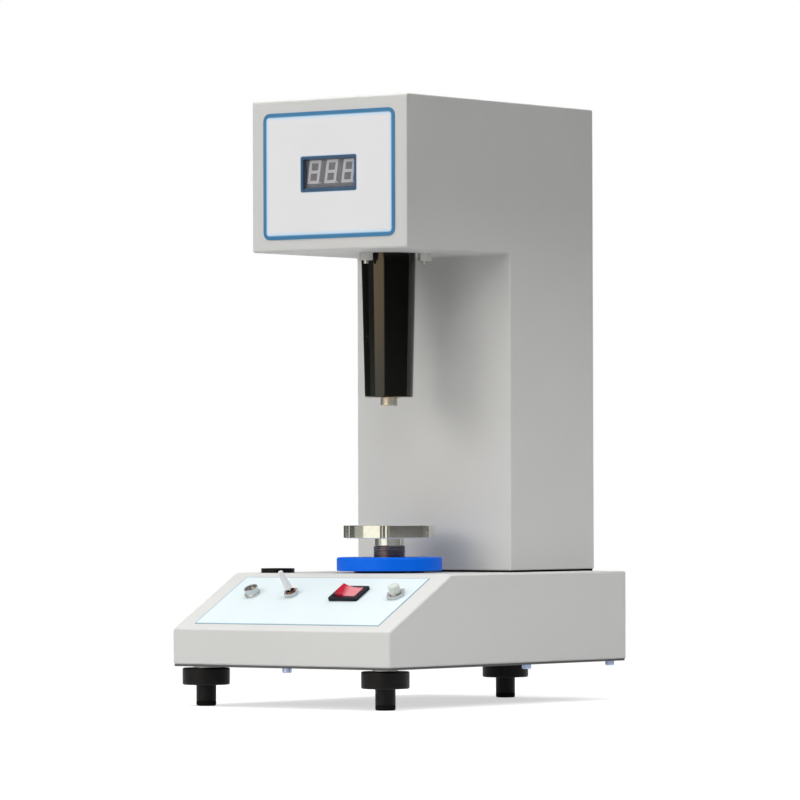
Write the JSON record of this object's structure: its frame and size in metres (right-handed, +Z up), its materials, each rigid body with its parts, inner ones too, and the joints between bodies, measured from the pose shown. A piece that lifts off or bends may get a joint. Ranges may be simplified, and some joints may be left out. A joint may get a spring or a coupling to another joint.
{
  "type": "liquid limit device",
  "caption": "Bench tester for the liquid limit of soil: wedge-fronted base on levelling feet, column with digital head, drop rod in a black sleeve and a screw-raised stage.",
  "frame": {"origin": "on the bench, under the centre of the base", "axes": "+X to the right seen from the front, +Y to the rear, +Z up"},
  "size_m": [0.162, 0.235, 0.3587],
  "materials": {
    "powder_coat": "light grey powder coat, fine texture, satin",
    "zinc_steel": "bright zinc plate",
    "black_moulding": "moulded black plastic, half gloss",
    "black_rubber": "black rubber",
    "display_print": "printed polyester film with a blue border",
    "window_lens": "clear window pane",
    "led_face": "grey face with three unlit digits",
    "circuit_board": "green solder mask",
    "black_enamel": "gloss black enamel",
    "grey_nylon": "light grey nylon",
    "bronze": "turned bronze",
    "ground_steel": "ground steel",
    "soft_iron": "plain grey iron",
    "machined_aluminium": "machined",
    "sensor_case": "dark grey case",
    "copper_winding": "enamelled copper winding",
    "panel_print": "pale blue printed film with a thin line border",
    "bezel_plastic": "blue-black plastic",
    "red_plastic": "translucent red plastic",
    "blue_case": "blue moulded case",
    "chrome_plate": "chrome plate",
    "white_grip": "white plastic sleeve",
    "button_plastic": "greenish white plastic",
    "level_glass": "clear vial with tinted liquid",
    "blue_plastic": "bright blue plastic, satin",
    "black_oxide": "blackened steel",
    "polished_nickel": "polished nickel plate",
    "washer_plastic": "white low-friction plastic",
    "spring_steel": "spring steel",
    "coil_tape": "yellow coil tape"
  },
  "bodies": {
    "base": {"base_cover": "powder_coat", "base_rear_panel": "powder_coat", "bottom_plate": "powder_coat", "bottom_screws": "zinc_steel", "foot_inserts": "zinc_steel", "column_gasket": "black_rubber", "column_housing": "powder_coat", "column_bolts": "zinc_steel", "rear_cover": "powder_coat", "rear_screws": "zinc_steel", "display_film": "display_print", "display_window": "window_lens", "led_display": "led_face", "display_board": "circuit_board", "board_standoffs": "zinc_steel", "sleeve": "black_enamel", "sleeve_bolts": "zinc_steel", "sleeve_nuts": "grey_nylon", "sleeve_set_screw": "zinc_steel", "guide_bushes": "bronze", "displacement_sensor": "sensor_case", "magnet_plate": "machined_aluminium", "magnet_standoffs": "zinc_steel", "magnet_pot": "soft_iron", "magnet_coil": "copper_winding", "control_film": "panel_print", "rocker_housing": "bezel_plastic", "toggle_body": "blue_case", "toggle_nut": "chrome_plate", "button_body": "zinc_steel", "button_nut": "chrome_plate", "signal_socket": "chrome_plate", "level_body": "black_moulding", "level_vial": "level_glass", "thrust_washer": "washer_plastic", "lift_housing": "machined_aluminium", "screw_guide": "bronze", "housing_screws": "zinc_steel", "main_board": "circuit_board", "transformer_core": "soft_iron", "transformer_coil": "coil_tape", "power_inlet": "black_moulding"},
    "wheel": {"lift_wheel": "blue_plastic", "retaining_ring": "spring_steel"},
    "stage": {"lift_screw": "black_oxide", "sample_stage": "polished_nickel"},
    "rod": {"measuring_rod": "ground_steel", "cone_holder": "ground_steel", "rod_armature": "soft_iron", "sensor_link": "machined_aluminium"},
    "rocker": {"rocker_paddle": "red_plastic"},
    "toggle": {"toggle_lever": "chrome_plate", "toggle_grip": "white_grip"},
    "button": {"button_cap": "button_plastic"},
    "front_left_tip_body": {"front_left_tip": "black_rubber"},
    "front_left_foot_body": {"front_left_foot": "black_moulding"},
    "front_right_tip_body": {"front_right_tip": "black_rubber"},
    "front_right_foot_body": {"front_right_foot": "black_moulding"},
    "rear_tip_body": {"rear_tip": "black_rubber"},
    "rear_foot_body": {"rear_foot": "black_moulding"}
  },
  "joints": [
    {"name": "wheel_turn", "type": "hinge", "parent": "base", "child": "wheel", "pos_m": [0, -0.0126, 0.0818], "axis": [0, 0, 1], "range_deg": [-5762.8, 2402.8]},
    {"name": "stage_lift", "type": "slide", "parent": "base", "child": "stage", "axis": [0, 0, 1], "range_m": [-0.01001, 0.02401]},
    {"name": "rod_fall", "type": "slide", "parent": "base", "child": "rod", "axis": [0, 0, -1], "range_m": [0, 0.024]},
    {"name": "rocker_press", "type": "hinge", "parent": "base", "child": "rocker", "pos_m": [0.0232, -0.08029, 0.06444], "axis": [0, 0.8778, 0.479], "range_deg": [-24, 0]},
    {"name": "toggle_flip", "type": "hinge", "parent": "base", "child": "toggle", "pos_m": [-0.0196, -0.08136, 0.06579], "axis": [0, 0.8778, 0.479], "range_deg": [0, 23]},
    {"name": "button_push", "type": "slide", "parent": "base", "child": "button", "axis": [0, 0.479, -0.8778], "range_m": [0, 0.0016], "stiffness_N_per_m": 300, "springref_m": -0.001},
    {"name": "front_left_foot_turn", "type": "hinge", "parent": "front_left_tip_body", "child": "front_left_foot_body", "pos_m": [-0.0669, -0.1034, 0.01], "axis": [0, 0, 1], "range_deg": [-2307.9, 0]},
    {"name": "front_left_foot_height", "type": "slide", "parent": "base", "child": "front_left_tip_body", "axis": [0, 0, 1], "range_m": [-0.00801, 0]},
    {"name": "front_right_foot_turn", "type": "hinge", "parent": "front_right_tip_body", "child": "front_right_foot_body", "pos_m": [0.0669, -0.1034, 0.01], "axis": [0, 0, 1], "range_deg": [-2307.9, 0]},
    {"name": "front_right_foot_height", "type": "slide", "parent": "base", "child": "front_right_tip_body", "axis": [0, 0, 1], "range_m": [-0.00801, 0]},
    {"name": "rear_foot_turn", "type": "hinge", "parent": "rear_tip_body", "child": "rear_foot_body", "pos_m": [0, 0.1034, 0.01], "axis": [0, 0, 1], "range_deg": [-2307.9, 0]},
    {"name": "rear_foot_height", "type": "slide", "parent": "base", "child": "rear_tip_body", "axis": [0, 0, 1], "range_m": [-0.00801, 0]}
  ],
  "couplings": [
    {"joint": "wheel_turn", "follows": "stage_lift", "rad_per_m": -4188.8},
    {"joint": "front_left_foot_turn", "follows": "front_left_foot_height", "rad_per_m": 5026.5},
    {"joint": "front_right_foot_turn", "follows": "front_right_foot_height", "rad_per_m": 5026.5},
    {"joint": "rear_foot_turn", "follows": "rear_foot_height", "rad_per_m": 5026.5}
  ]
}
